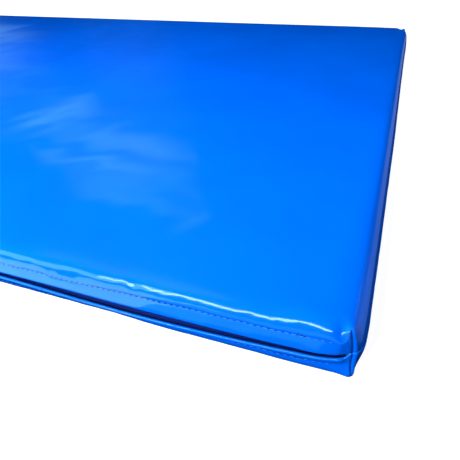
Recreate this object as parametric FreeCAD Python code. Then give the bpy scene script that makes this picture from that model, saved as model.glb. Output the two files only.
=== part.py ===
import FreeCAD, Part
import math
import os

# A padded gymnastics mat: a foam core in a sewn cover of coated vinyl sheet, closed by a zip
# along one long side. All sizes are in millimetres.
# The origin is the middle of the resting face. +X runs along the zip, +Z is up, and the zipped
# side, called the front, faces -Y. A depth is counted inwards from the front's outer face.

# Cover
LENGTH = 2000.0  # over the end walls
WIDTH = 1000.0  # from the zipped front to the back wall
HEIGHT = 60.0
SHEET = 0.8  # thickness of the coated sheet
CORNER_R = 14.0  # corners seen from above
TOP_EDGE_R = 8.0
BASE_EDGE_R = 5.0
SEAM_Z = 30.0  # height at which the upper and lower halves meet
SEAM_ALLOWANCE = 10.0  # sheet turned inwards at the side seam
CORNER_ALLOWANCE = 8.0  # sheet turned inwards at each upright corner seam
CREASE_R = 0.4  # groove that a corner seam shows outside

# Slot in the front wall, with a folded hem above and below it
SLOT_GAP = 5.0
SLOT_END_MARGIN = 2.0  # from the start of the rounded corner to the slot's end
HEM_DEPTH = 17.0  # height of the sheet turned up behind a hem
HEM_SPACE = 0.6  # left between the two layers of a hem

# Zip
TAPE_T = 0.6
TAPE_REACH = 19.0  # from the zip's centre line to a tape's outer edge
TAPE_SEWN = 6.5  # outer part of a tape that lies flat against its hem
TAPE_END_MARGIN = 1.0  # tape beyond a stop
COIL_W = 3.2
COIL_T = 2.6
COIL_SPACE = 1.6  # between the two coils, where the slider's post runs
STOP_L = 3.0
STOP_OVER = 0.2  # how far a stop is larger than the coil each way

# Slider and its pull tab
SLIDER_L = 17.0
SLIDER_W = 13.0
SLIDER_END_R = 3.0
PLATE_T = 1.2
RIM_GAP = 0.5  # from a coil to the rim beside it
POST_L = 5.0
CROWN_L = 10.0
CROWN_W = 3.0
CROWN_LEG = 1.8
CROWN_BAR = 1.2
PIVOT_R = 0.6
PULL_ARM_W = 1.2
PULL_L = 30.0
PULL_W = 8.0
PULL_TIP_R = 3.0
PULL_HOLE_L = 12.0
PULL_HOLE_W = 3.0

# Foam core, in two glued layers
TOP_LAYER_T = 20.0

# Thread
STITCH_PITCH = 6.6
STITCH_L = 5.4
THREAD_W = 0.5
THREAD_T = 0.4
STITCH_EDGE = 3.5  # from a tape's outer edge to its row of stitches
STITCH_END_MARGIN = 4.0  # from the slot's end to the first stitch
SEAM_STITCH = 5.0  # from a wall's outer face to the side seam's thread

CLEAR = 0.3  # between pieces that move or only just miss each other

# Levels and depths that follow from the sizes above
hem_d = 2 * SHEET + HEM_SPACE
fold_r = hem_d / 2
slot_half = LENGTH / 2 - CORNER_R - SLOT_END_MARGIN
lip_z = SEAM_Z - SLOT_GAP
zip_z = SEAM_Z - SLOT_GAP / 2
plate_d = hem_d + CLEAR
coil_d = plate_d + PLATE_T + CLEAR
tape_d = coil_d + COIL_T
back_plate_d = tape_d + TAPE_T + CLEAR
recess_d = back_plate_d + PLATE_T + CLEAR
core_front_d = hem_d + TAPE_T + CLEAR
bend_start = TAPE_REACH - TAPE_SEWN
bend_end = SLIDER_W / 2 + 5 * CLEAR
split_z = HEIGHT - SHEET - TOP_LAYER_T
stop_half = slot_half - TAPE_END_MARGIN
coil_half = stop_half - STOP_L
travel = 2 * (coil_half - SLIDER_L / 2 - CLEAR)
slider_x = -travel / 2
pivot_d = -(PIVOT_R + CLEAR)
crown_out_d = pivot_d - PIVOT_R - CLEAR - CROWN_BAR
pull_eye = math.hypot(CROWN_L / 2, crown_out_d - pivot_d) + CLEAR


def box(x0, x1, y0, y1, z0, z1):
    return Part.makeBox(x1 - x0, y1 - y0, z1 - z0, FreeCAD.Vector(x0, y0, z0))


def front_y(depth):
    return -WIDTH / 2 + depth


def edges_where(shape, test):
    return [e for e in shape.Edges if all(test(v.Point) for v in e.Vertexes)]


def corners_at(plate, x):
    """The edges that run through a plate's thickness, along Y, at one of its ends."""
    ends = edges_where(plate, lambda p: abs(p.x - x) < 1e-6)
    return [e for e in ends if abs(e.Vertexes[0].Y - e.Vertexes[1].Y) > 1e-6]


def rounded_plate(inset, z0, z1):
    """A flat plate with the cover's outline, drawn in by inset."""
    x, y = LENGTH / 2 - inset, WIDTH / 2 - inset
    plate = box(-x, x, -y, y, z0, z1)
    upright = [e for e in plate.Edges if abs(e.Vertexes[0].Z - e.Vertexes[1].Z) > 1e-6]
    return plate.makeFillet(max(CORNER_R - inset, SHEET), upright)


def rounded_slab(inset, z0, z1, top_r, base_r):
    """The mat's whole form, with soft edges above and below."""
    slab = rounded_plate(inset, z0, z1)
    slab = slab.makeFillet(top_r, edges_where(slab, lambda p: abs(p.z - z1) < 1e-6))
    return slab.makeFillet(base_r, edges_where(slab, lambda p: abs(p.z - z0) < 1e-6))


def strip(profile, x0, x1):
    """A profile of (depth, height) points, drawn out along X."""
    points = [FreeCAD.Vector(x0, front_y(d), z) for d, z in profile]
    face = Part.Face(Part.makePolygon(points + points[:1]))
    return face.extrude(FreeCAD.Vector(x1 - x0, 0, 0))


def hem(edge_z, up):
    """A doubled edge along the slot. The fold is at edge_z, and up is 1 for the upper hem."""
    axis_z = edge_z + up * fold_r
    centre = FreeCAD.Vector(-slot_half, front_y(fold_r), axis_z)
    along = FreeCAD.Vector(1, 0, 0)
    fold = Part.makeCylinder(fold_r, 2 * slot_half, centre, along)
    fold = fold.cut(Part.makeCylinder(HEM_SPACE / 2, 2 * slot_half, centre, along))
    low, high = sorted((axis_z, axis_z - up * fold_r))
    fold = fold.common(box(-slot_half, slot_half, front_y(0), front_y(hem_d), low, high))
    z0, z1 = sorted((axis_z, edge_z + up * HEM_DEPTH))
    leg = box(-slot_half, slot_half, front_y(hem_d - SHEET), front_y(hem_d), z0, z1)
    return fold.fuse(leg)


def slot_clearance(z0, z1):
    """The part of the front wall between two heights that the slot takes away."""
    return box(-slot_half, slot_half, front_y(-1), front_y(SHEET), z0, z1)


def side_allowance(z0, z1):
    """Sheet turned inwards round the ends and the back, but not behind the slot."""
    ring = rounded_plate(0, z0, z1).cut(rounded_plate(SEAM_ALLOWANCE, z0, z1))
    return ring.cut(box(-slot_half, slot_half, front_y(-1), front_y(SEAM_ALLOWANCE + 1), z0, z1))


def at_corners(make):
    """Four copies of a shape that make() draws pointing outwards along X from a corner's centre."""
    copies = []
    for sx, sy, turn in ((1, 1, 45), (-1, 1, 135), (-1, -1, 225), (1, -1, 315)):
        piece = make()
        piece.rotate(FreeCAD.Vector(0, 0, 0), FreeCAD.Vector(0, 0, 1), turn)
        x, y = sx * (LENGTH / 2 - CORNER_R), sy * (WIDTH / 2 - CORNER_R)
        piece.translate(FreeCAD.Vector(x, y, 0))
        copies.append(piece)
    return copies


def corner_rib(z0, z1, spare=0.0):
    """The two allowances of an upright corner seam, lying face to face."""
    inner = CORNER_R - SHEET - CORNER_ALLOWANCE - spare
    half = SHEET + spare
    return box(inner, CORNER_R - SHEET / 2, -half, half, z0, z1)


def crease(z0, z1):
    return Part.makeCylinder(CREASE_R, z1 - z0, FreeCAD.Vector(CORNER_R, 0, z0))


def cover_half(z0, z1, rib_z0, rib_z1, allowance):
    """The sheet between two heights, with its turned allowances and its corner seams."""
    outer = rounded_slab(0, 0, HEIGHT, TOP_EDGE_R, BASE_EDGE_R)
    inner = rounded_slab(SHEET, SHEET, HEIGHT - SHEET, TOP_EDGE_R - SHEET, BASE_EDGE_R - SHEET)
    reach = LENGTH + WIDTH
    half = outer.cut(inner).common(box(-reach, reach, -reach, reach, z0, z1))
    half = half.fuse([allowance] + at_corners(lambda: corner_rib(rib_z0, rib_z1)))
    return half.cut(Part.makeCompound(at_corners(lambda: crease(rib_z0, rib_z1))))


def cover_top():
    top = cover_half(
        SEAM_Z, HEIGHT, SEAM_Z, HEIGHT - TOP_EDGE_R, side_allowance(SEAM_Z, SEAM_Z + SHEET)
    )
    top = top.cut(slot_clearance(SEAM_Z, SEAM_Z + fold_r))
    return top.fuse(hem(SEAM_Z, 1)).removeSplitter()


def cover_base():
    base = cover_half(0, SEAM_Z, BASE_EDGE_R, SEAM_Z, side_allowance(SEAM_Z - SHEET, SEAM_Z))
    base = base.cut(slot_clearance(lip_z - fold_r, SEAM_Z))
    return base.fuse(hem(lip_z, -1)).removeSplitter()


def core():
    """The foam block before it is split, cleared for the seams, the hems and the zip."""
    inset = SHEET + CLEAR
    block = rounded_slab(
        inset, SHEET, HEIGHT - SHEET, TOP_EDGE_R - inset, BASE_EDGE_R - inset
    )
    reach = LENGTH + WIDTH
    block = block.cut(box(-reach, reach, front_y(-1), front_y(core_front_d), 0, HEIGHT))
    recess = bend_start + 3 * CLEAR
    block = block.cut(
        box(-reach, reach, front_y(-1), front_y(recess_d), zip_z - recess, zip_z + recess)
    )
    room = SHEET + THREAD_T + CLEAR
    z0, z1 = SEAM_Z - room, SEAM_Z + room
    groove = rounded_plate(-1, z0, z1).cut(rounded_plate(SEAM_ALLOWANCE + CLEAR, z0, z1))
    block = block.cut(groove)
    slits = at_corners(lambda: corner_rib(0, HEIGHT, THREAD_T + CLEAR))
    return block.cut(Part.makeCompound(slits))


def core_layer(z0, z1):
    reach = LENGTH + WIDTH
    return core().common(box(-reach, reach, -reach, reach, z0, z1)).removeSplitter()


def zip_tape(side):
    """A tape, flat where it is sewn and stepped back where the slider runs. side is 1 above."""
    line = [
        (hem_d, TAPE_REACH),
        (hem_d, bend_start),
        (tape_d, bend_end),
        (tape_d, COIL_SPACE / 2),
    ]
    there = [(d, zip_z + side * z) for d, z in line]
    back = [(d + TAPE_T, z) for d, z in reversed(there)]
    return strip(there + back, -stop_half - TAPE_END_MARGIN, stop_half + TAPE_END_MARGIN)


def beside_centre(side, width, depth0, depth1, x0, x1):
    """A bar of that width on one side of the zip's centre line."""
    z0, z1 = sorted((zip_z + side * COIL_SPACE / 2, zip_z + side * (COIL_SPACE / 2 + width)))
    return box(x0, x1, front_y(depth0), front_y(depth1), z0, z1)


def zip_coil(side):
    return beside_centre(side, COIL_W, coil_d, tape_d, -coil_half, coil_half)


def zip_top_stop(side):
    """A stop that closes the end of one coil, at the end where the slider rests."""
    depth = coil_d - STOP_OVER
    return beside_centre(side, COIL_W + STOP_OVER, depth, tape_d, -stop_half, -coil_half)


def zip_bottom_stop():
    """A single stop that bridges both coils."""
    half = COIL_SPACE / 2 + COIL_W + STOP_OVER
    y0, y1 = front_y(coil_d - STOP_OVER), front_y(tape_d)
    return box(coil_half, stop_half, y0, y1, zip_z - half, zip_z + half)


def slider_plate(depth):
    """One of the slider's two plates, with rounded ends."""
    x0, x1 = slider_x - SLIDER_L / 2, slider_x + SLIDER_L / 2
    z0, z1 = zip_z - SLIDER_W / 2, zip_z + SLIDER_W / 2
    plate = box(x0, x1, front_y(depth), front_y(depth + PLATE_T), z0, z1)
    return plate.makeFillet(SLIDER_END_R, corners_at(plate, x0) + corners_at(plate, x1))


def slider_crown():
    """The arch in front of the slot that holds the pull tab."""
    z0, z1 = zip_z - CROWN_W / 2, zip_z + CROWN_W / 2
    half = CROWN_L / 2
    y_out = front_y(crown_out_d)
    arch = box(slider_x - half, slider_x + half, y_out, front_y(plate_d), z0, z1)
    outer = edges_where(arch, lambda p: p.y < y_out + 1e-6)
    outer = [e for e in outer if abs(e.Vertexes[0].Z - e.Vertexes[1].Z) > 1e-6]
    arch = arch.makeFillet(CROWN_BAR, outer)
    hole = half - CROWN_LEG
    y_in = y_out + CROWN_BAR
    inside = box(slider_x - hole, slider_x + hole, y_in, front_y(plate_d), z0, z1)
    return arch.cut(inside)


def slider_body():
    """Two plates round the coils, joined by a post between them, with a rim along each side."""
    rim = COIL_SPACE / 2 + COIL_W + RIM_GAP
    x0, x1 = slider_x - SLIDER_L / 2 + SLIDER_END_R, slider_x + SLIDER_L / 2 - SLIDER_END_R
    y0, y1 = front_y(plate_d + PLATE_T), front_y(tape_d - CLEAR)
    rims = [
        box(x0, x1, y0, y1, *sorted((zip_z + side * rim, zip_z + side * SLIDER_W / 2)))
        for side in (1, -1)
    ]
    half = COIL_SPACE / 2 - CLEAR
    y2 = front_y(back_plate_d)
    post = box(slider_x - POST_L / 2, slider_x + POST_L / 2, y0, y2, zip_z - half, zip_z + half)
    body = slider_plate(plate_d).fuse(
        [slider_plate(back_plate_d), post, slider_crown()] + rims
    )
    return body.removeSplitter()


def slider_pull():
    """The tab, held by a bar that passes under the crown. At rest it lies along +X."""
    y0, y1 = front_y(pivot_d - PIVOT_R), front_y(pivot_d + PIVOT_R)
    eye_half = CROWN_W / 2 + CLEAR
    half = eye_half + PULL_ARM_W
    bar = Part.makeCylinder(
        PIVOT_R, 2 * half, FreeCAD.Vector(slider_x, front_y(pivot_d), zip_z - half)
    )
    x1 = slider_x + pull_eye
    arms = [
        box(slider_x, x1, y0, y1, *sorted((zip_z + side * eye_half, zip_z + side * half)))
        for side in (1, -1)
    ]
    x2 = slider_x + PULL_L
    tab = box(x1, x2, y0, y1, zip_z - PULL_W / 2, zip_z + PULL_W / 2)
    tab = tab.makeFillet(PULL_TIP_R, corners_at(tab, x2))
    tab = tab.makeFillet(PULL_ARM_W, corners_at(tab, x1))
    x3 = x2 - PULL_W / 2 - PULL_HOLE_L
    hole = box(x3, x3 + PULL_HOLE_L, y0, y1, zip_z - PULL_HOLE_W / 2, zip_z + PULL_HOLE_W / 2)
    return tab.cut(hole).fuse([bar] + arms).removeSplitter()


def zip_stitches(side):
    """A row of stitches on the outside of the front wall, over a tape's sewn part."""
    z = zip_z + side * (TAPE_REACH - STITCH_EDGE)
    run = 2 * (slot_half - STITCH_END_MARGIN)
    count = int((run - STITCH_L) // STITCH_PITCH) + 1
    first = -((count - 1) * STITCH_PITCH + STITCH_L) / 2
    y0, y1 = front_y(-THREAD_T), front_y(0)
    stitches = []
    for n in range(count):
        x = first + n * STITCH_PITCH
        stitches.append(box(x, x + STITCH_L, y0, y1, z - THREAD_W / 2, z + THREAD_W / 2))
    return stitches


def side_seam_thread():
    """Thread through the two turned allowances, above and below them, on the ends and back."""
    x_end = LENGTH / 2 - SEAM_STITCH
    y_back = WIDTH / 2 - SEAM_STITCH
    x_run = LENGTH / 2 - CORNER_R
    y_run = WIDTH / 2 - CORNER_R
    half = THREAD_W / 2
    runs = []
    for z0 in (SEAM_Z + SHEET, SEAM_Z - SHEET - THREAD_T):
        z1 = z0 + THREAD_T
        runs.append(box(-x_run, x_run, y_back - half, y_back + half, z0, z1))
        for x in (-x_end, x_end):
            runs.append(box(x - half, x + half, -y_run, y_run, z0, z1))
    return runs


def corner_seam_threads():
    """Upright thread on both faces of each corner seam's allowances."""
    middle = CORNER_R - SHEET - CORNER_ALLOWANCE / 2
    x0, x1 = middle - THREAD_W / 2, middle + THREAD_W / 2
    levels = (
        (BASE_EDGE_R, SEAM_Z - SHEET - THREAD_T),
        (SEAM_Z + SHEET + THREAD_T, HEIGHT - TOP_EDGE_R),
    )
    threads = []
    for z0, z1 in levels:
        for y0 in (SHEET, -SHEET - THREAD_T):
            threads += at_corners(lambda: box(x0, x1, y0, y0 + THREAD_T, z0, z1))
    return threads


def export(name, shape):
    solids = shape if isinstance(shape, list) else [shape]
    whole = solids[0] if len(solids) == 1 else Part.makeCompound(solids)
    whole.exportStep(os.path.join("parts", name + ".step"))
    b = whole.BoundBox
    low, high = (b.XMin, b.YMin, b.ZMin), (b.XMax, b.YMax, b.ZMax)
    spans = "  ".join(f"{a} {p:.1f}..{q:.1f}" for a, p, q in zip("xyz", low, high))
    print(f"{name}: {len(whole.Solids)} solids, valid {whole.isValid()}, {spans}")


os.makedirs("parts", exist_ok=True)
export("cover_top", cover_top())
export("cover_base", cover_base())
export("core_top_layer", core_layer(split_z, HEIGHT - SHEET))
export("core_base_layer", core_layer(SHEET, split_z))
export("zip_tape_upper", zip_tape(1))
export("zip_tape_lower", zip_tape(-1))
export("zip_coil_upper", zip_coil(1))
export("zip_coil_lower", zip_coil(-1))
export("zip_top_stop_upper", zip_top_stop(1))
export("zip_top_stop_lower", zip_top_stop(-1))
export("zip_bottom_stop", zip_bottom_stop())
export("slider_body", slider_body())
export("slider_pull", slider_pull())
export("zip_stitches_upper", zip_stitches(1))
export("zip_stitches_lower", zip_stitches(-1))
export("side_seam_thread", side_seam_thread())
export("corner_seam_threads", corner_seam_threads())
print(f"slider travel {travel:.2f}, slider at x {slider_x:.2f}")
print(f"pull pivot at y {front_y(pivot_d):.2f}, z {zip_z:.2f}")
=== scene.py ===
# %% [markdown]
# # A padded gymnastics mat, sewn from glossy coated sheet
#
# The mat is a slab of foam in a loose cover. The cover has an upper and a lower half, sewn
# together at mid height, and a zip runs along one long side. What makes it look real is not the
# box but the sheet: it bows out between the corners, pulls in at the seams, and puckers along the
# stitches. So the sheet gets most of the work here, and the zip and its thread follow it.
#
# The solid model gives every size. Its boxes are read first.

# %% Load the solid model
import math

import bpy
import numpy as np
from mathutils import Matrix, Vector, noise


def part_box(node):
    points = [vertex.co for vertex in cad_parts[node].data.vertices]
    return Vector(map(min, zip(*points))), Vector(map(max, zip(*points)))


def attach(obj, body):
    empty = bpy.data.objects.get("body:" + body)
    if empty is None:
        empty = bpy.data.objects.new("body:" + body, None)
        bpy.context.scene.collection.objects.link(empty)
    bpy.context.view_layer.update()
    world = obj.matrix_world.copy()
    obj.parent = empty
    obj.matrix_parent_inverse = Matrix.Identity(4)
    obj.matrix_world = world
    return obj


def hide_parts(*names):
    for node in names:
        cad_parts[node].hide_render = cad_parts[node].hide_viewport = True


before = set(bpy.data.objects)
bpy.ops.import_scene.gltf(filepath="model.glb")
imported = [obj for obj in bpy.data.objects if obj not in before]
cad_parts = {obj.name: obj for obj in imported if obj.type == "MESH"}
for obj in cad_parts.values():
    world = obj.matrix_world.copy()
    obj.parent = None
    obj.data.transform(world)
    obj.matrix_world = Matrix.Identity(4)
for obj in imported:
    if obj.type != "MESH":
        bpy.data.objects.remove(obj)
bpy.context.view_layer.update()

# %% Sizes, all in metres and all from the solid model
MM = 0.001


def middle(node, axis):
    low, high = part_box(node)
    return (low[axis] + high[axis]) / 2


top_low, top_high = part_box("cover_top")
half_x = top_high[0]
half_y = top_high[1]
height = top_high[2]
seam_z = top_low[2]
zip_z = (middle("zip_coil_upper", 2) + middle("zip_coil_lower", 2)) / 2
lip_z = 2 * zip_z - seam_z
front_y = -half_y
upper_row_z = middle("zip_stitches_upper", 2)
lower_row_z = middle("zip_stitches_lower", 2)
coil_low, coil_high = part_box("zip_coil_upper")
tape_low, tape_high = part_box("zip_tape_upper")
slot_half = tape_high[0]
SHEET = 0.8 * MM
FOLD_R = 1.1 * MM
STITCH_PITCH = 6.6 * MM
print(f"mat {2 * half_x:.3f} x {2 * half_y:.3f} x {height:.3f}, seam at {seam_z:.4f}, lip at {lip_z:.4f}")

# %% [markdown]
# ## Helpers
#
# Three small things are used all through: a way to turn a painter's hex colour into the linear
# numbers that a renderer wants, one function that adds a node with its settings and links, and a
# pair that reads and writes all the points of a mesh at once, because moving fifty thousand
# points one at a time is slow. The rest here select, apply, repeat and dress pieces.

# %% Colours and nodes
def linear(hex_colour):
    """An sRGB hex colour as linear RGBA."""
    values = [int(hex_colour[i : i + 2], 16) / 255 for i in (0, 2, 4)]
    return [v / 12.92 if v <= 0.04045 else ((v + 0.055) / 1.055) ** 2.4 for v in values] + [1.0]


def set_inputs(tree, node, **inputs):
    """Fill a node's inputs, given as values or as (node, output) links."""
    for name, value in inputs.items():
        socket = node.inputs[int(name[1:])] if name[1:].isdigit() else node.inputs[name.replace("_", " ")]
        if isinstance(value, tuple) and isinstance(value[0], bpy.types.Node):
            tree.links.new(value[0].outputs[value[1]], socket)
        else:
            socket.default_value = value


def add_node(tree, kind, settings=None, **inputs):
    """A shader node with its settings and its inputs."""
    node = tree.nodes.new("ShaderNode" + kind)
    for name, value in (settings or {}).items():
        setattr(node, name, value)
    set_inputs(tree, node, **inputs)
    return node


def new_material(name):
    """An empty material with its shader and the place of each point, ready for a pattern."""
    material = bpy.data.materials.new(name)
    material.use_nodes = True
    tree = material.node_tree
    return material, tree, tree.nodes["Principled BSDF"], (add_node(tree, "TexCoord"), "Object")


RGBA = {"data_type": "RGBA"}
SOFT_STEP = {"interpolation_type": "SMOOTHSTEP"}
BANDS_X = {"bands_direction": "X"}
BANDS_Y = {"bands_direction": "Y"}
HALF_WAVE = 6.28  # a wave texture of scale 1 / (HALF_WAVE * d) repeats over about twice the length d
print("blue in linear light:", [round(v, 3) for v in linear("0474F2")])


# %% Points of a mesh
def get_points(piece):
    points = np.empty(len(piece.data.vertices) * 3)
    piece.data.vertices.foreach_get("co", points)
    return points.reshape(-1, 3)


def set_points(piece, points):
    piece.data.vertices.foreach_set("co", points.ravel())
    piece.data.update()


def ripple(points, size, seed):
    """Smooth noise between -1 and 1 at each point, with features about as large as size."""
    shift = Vector((17.3 * seed, 5.1 * seed, 11.7 * seed))
    return np.array([noise.noise(Vector(p) / size + shift) for p in points])


def smooth(t):
    """0 below 0, 1 above 1, and a soft step between."""
    t = np.clip(t, 0, 1)
    return t * t * (3 - 2 * t)


def bump(t):
    """1 at 0, falling softly to nothing at about 2 on each side."""
    return np.exp(-t * t)


def begin():
    """Leave edit mode and deselect everything, so that the next operator works on new geometry."""
    if bpy.context.object and bpy.context.object.mode != "OBJECT":
        bpy.ops.object.mode_set(mode="OBJECT")
    bpy.ops.object.select_all(action="DESELECT")


def object_mode():
    bpy.ops.object.mode_set(mode="OBJECT")


def edit_mode(action="SELECT"):
    bpy.ops.object.mode_set(mode="EDIT")
    bpy.ops.mesh.select_all(action=action)


def new_piece(name, add_primitive, **shape):
    """A primitive under its own name, with its place and size put into its points."""
    begin()
    add_primitive(**shape)
    piece = bpy.context.object
    piece.name = name
    bpy.ops.object.transform_apply(location=True, rotation=True, scale=True)
    return piece


def only(piece):
    begin()
    piece.select_set(True)
    bpy.context.view_layer.objects.active = piece
    return piece


def apply_modifiers(piece):
    only(piece)
    for modifier in list(piece.modifiers):
        bpy.ops.object.modifier_apply(modifier=modifier.name)


def select_edges(piece, test):
    """Select the edges whose middle point and direction pass the test, and stay in edit mode."""
    bpy.ops.object.mode_set(mode="EDIT")
    bpy.ops.mesh.select_mode(type="EDGE")
    bpy.ops.mesh.select_all(action="DESELECT")
    object_mode()
    for edge in piece.data.edges:
        first, last = (piece.data.vertices[i].co for i in edge.vertices)
        edge.select = bool(test((first + last) / 2, (last - first).normalized()))
    bpy.ops.object.mode_set(mode="EDIT")


def repeat_along_x(piece, pitch, count):
    row = piece.modifiers.new("row", "ARRAY")
    row.use_relative_offset = False
    row.use_constant_offset = True
    row.constant_offset_displace = (pitch, 0, 0)
    row.count = count
    apply_modifiers(piece)


def dress(piece, material, slot, body, *nodes):
    """Give a piece its material, its body and the solids it stands for. The slot argument is not used."""
    piece.data.materials.clear()
    piece.data.materials.append(material)
    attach(piece, body)
    if nodes:
        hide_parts(*nodes)


print("helpers ready")

# %% [markdown]
# ## Coated sheet
#
# The cover is polyester cloth coated with soft vinyl, pressed between rollers. The coating is
# coloured right through, so the colour is strong and even. It shines in two ways: a broad haze
# from the faint orange peel of the coating, and a sharper glint from its skin. A rough base with
# a thin clear coat gives both. The threads of the cloth show through as a very faint grid, and a
# point attribute paints shade into the needle holes.

# %% The coated sheet
SCRIM_PITCH = 1.6 * MM  # half the spacing of the threads, drawn coarser than it is so that it shows
ORANGE_PEEL = 2.5 * MM
# Painted shade: the needle holes are coloured this near-black blue.
HOLE_SHADE_BLUE = "010A34"  # the shade at the bottom of a needle hole


def coated_sheet():
    material, tree, shader, place = new_material("coated vinyl sheet, blue")
    smudge = add_node(tree, "TexNoise", None, Vector=place, Scale=7.0, Detail=3.0)
    tone = add_node(tree, "ValToRGB", Fac=(smudge, "Fac"))
    for stop, position, blue in ((0, 0.3, "0051CA"), (1, 0.7, "0057D4")):
        tone.color_ramp.elements[stop].position = position
        tone.color_ramp.elements[stop].color = linear(blue)
    # Painted shade: around each needle hole the colour turns near black.
    hole = add_node(tree, "Attribute", {"attribute_name": "needle"})
    sharp = add_node(tree, "MapRange", SOFT_STEP, Value=(hole, "Fac"), _1=0.30, _2=0.54)
    hole_shaded = add_node(tree, "Mix", RGBA, _0=(sharp, "Result"), _6=(tone, "Color"), _7=linear(HOLE_SHADE_BLUE))
    wear = add_node(tree, "TexNoise", None, Vector=place, Scale=22.0, Detail=4.0, Roughness=0.6)
    gloss = add_node(tree, "MapRange", None, Value=(wear, "Fac"), _1=0.3, _2=0.7, _3=0.30, _4=0.38)
    peel = add_node(tree, "TexNoise", None, Vector=place, Scale=1 / ORANGE_PEEL, Detail=2.0)
    scrim = 1 / (HALF_WAVE * SCRIM_PITCH)
    weave_x = add_node(tree, "TexWave", BANDS_X, Vector=place, Scale=scrim)
    weave_y = add_node(tree, "TexWave", BANDS_Y, Vector=place, Scale=scrim)
    grid = add_node(tree, "Math", {"operation": "ADD"}, _0=(weave_x, "Fac"), _1=(weave_y, "Fac"))
    lay = {"operation": "MULTIPLY_ADD"}
    both = add_node(tree, "Math", lay, _0=(grid, "Value"), _1=0.08, _2=(peel, "Fac"))
    skin = add_node(tree, "Bump", None, Strength=0.16, Distance=0.2 * MM, Height=(both, "Value"))
    set_inputs(tree, shader, Base_Color=(hole_shaded, 2), Roughness=(gloss, "Result"))
    set_inputs(tree, shader, Normal=(skin, "Normal"), Coat_Normal=(skin, "Normal"))
    set_inputs(tree, shader, IOR=1.52, Specular_IOR_Level=0.02, Coat_Weight=1.0, Coat_Roughness=0.07)
    return material


sheet_finish = coated_sheet()
print(sheet_finish.name, len(sheet_finish.node_tree.nodes), "nodes")

# %% [markdown]
# ## Thread, woven tape, nylon, metal and foam
#
# The small parts need little: bonded thread is faintly ribbed by its twist, the zip's tape is
# woven in close ribs, and both are darker between their ribs with painted shade. The zip's coil
# is smooth nylon, the slider is die-cast zinc under black enamel, and the stops are blackened
# aluminium. The core has two foams, whose cells are small pits with painted shade in them.

# %% Finishes of the small parts
TWIST = 0.7 * MM  # half the spacing of the ribs, and so is the next
TAPE_RIB = 1.0 * MM
FOAM_CELL = 1.5 * MM  # drawn larger than it is, so that the cells show


def ribbed(name, colour, dark, spacing, roughness, depth):
    """A finish with fine ribs: twisted thread and woven tape are both made of them. Between the ribs the
    colour is darker, as painted shade.
    """
    material, tree, shader, place = new_material(name)
    scale = 1 / (HALF_WAVE * spacing)
    ribs = add_node(tree, "TexWave", BANDS_X, Vector=place, Scale=scale, Distortion=0.6)
    # Painted shade: the colour is darker in the grooves between ribs.
    tone = add_node(tree, "Mix", RGBA, _0=(ribs, "Fac"), _6=linear(dark), _7=linear(colour))
    relief = add_node(tree, "Bump", None, Strength=0.6, Distance=depth, Height=(ribs, "Fac"))
    set_inputs(tree, shader, Base_Color=(tone, 2), Normal=(relief, "Normal"), Roughness=roughness)
    return material


def mottled(name, light, dark, size, roughness, depth, metallic=0.0):
    """A finish with an even, fine mottle in colour and height."""
    material, tree, shader, place = new_material(name)
    spots = add_node(tree, "TexNoise", None, Vector=place, Scale=1 / size, Detail=3.0)
    tone = add_node(tree, "Mix", RGBA, _0=(spots, "Fac"), _6=linear(dark), _7=linear(light))
    relief = add_node(tree, "Bump", None, Strength=0.4, Distance=depth, Height=(spots, "Fac"))
    set_inputs(tree, shader, Base_Color=(tone, 2), Normal=(relief, "Normal"))
    set_inputs(tree, shader, Roughness=roughness, Metallic=metallic)
    return material


def open_cell_foam(name, pit_shade, skin):
    """A finish of small rounded pits, each darker at its bottom with painted shade."""
    material, tree, shader, place = new_material(name)
    cells = add_node(tree, "TexVoronoi", {"feature": "F1"}, Vector=place, Scale=1 / FOAM_CELL)
    # Painted shade: the colour darkens towards the middle of each cell, where its pit is deepest.
    tone = add_node(tree, "ValToRGB", Fac=(cells, "Distance"))
    tone.color_ramp.elements[0].color = linear(pit_shade)
    tone.color_ramp.elements[1].color = linear(skin)
    relief = add_node(tree, "Bump", None, Strength=0.7, Distance=0.5 * MM, Height=(cells, "Distance"))
    set_inputs(tree, shader, Base_Color=(tone, "Color"), Normal=(relief, "Normal"), Roughness=0.95)
    return material


# The thread is a shade lighter and greyer than the sheet, so a row reads as a dotted line.
thread_finish = ribbed("bonded polyester thread, lilac", "4468BE", "3450A0", TWIST, 0.55, 0.1 * MM)
# Tape and coil are black, drawn navy: the blue in their colour is painted light bounced from the blue sheet.
# They are nearly without gloss, so the slot reads as a dark line.
tape_finish = ribbed("woven polyester tape, black", "081A5A", "040F38", TAPE_RIB, 0.8, 0.2 * MM)
coil_finish = mottled("moulded nylon, black", "082066", "041244", 3 * MM, 0.5, 0.05 * MM)
for dull in (coil_finish, tape_finish):
    set_inputs(dull.node_tree, dull.node_tree.nodes["Principled BSDF"], Specular_IOR_Level=0.06)
# Enamel gives the slider a soft black shine, and the stops are dull metal.
enamel_finish = mottled("black enamel on die-cast zinc", "121214", "0A0A0C", 0.8 * MM, 0.3, 0.03 * MM)
stop_finish = mottled("blackened aluminium", "2B2C30", "1C1D20", 0.6 * MM, 0.35, 0.03 * MM, 1.0)
# The softer foam is pale and the firmer one nearly black. Both are matt, with small cells, and the first
# colour of each pair is the painted shade in the cells' pits.
soft_foam = open_cell_foam("open-cell polyurethane foam, cream", "CFC7A4", "EFEAD6")
firm_foam = open_cell_foam("dense polyurethane foam, charcoal", "0A0D18", "161A2A")
print("finishes:", [m.name for m in bpy.data.materials])

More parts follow.
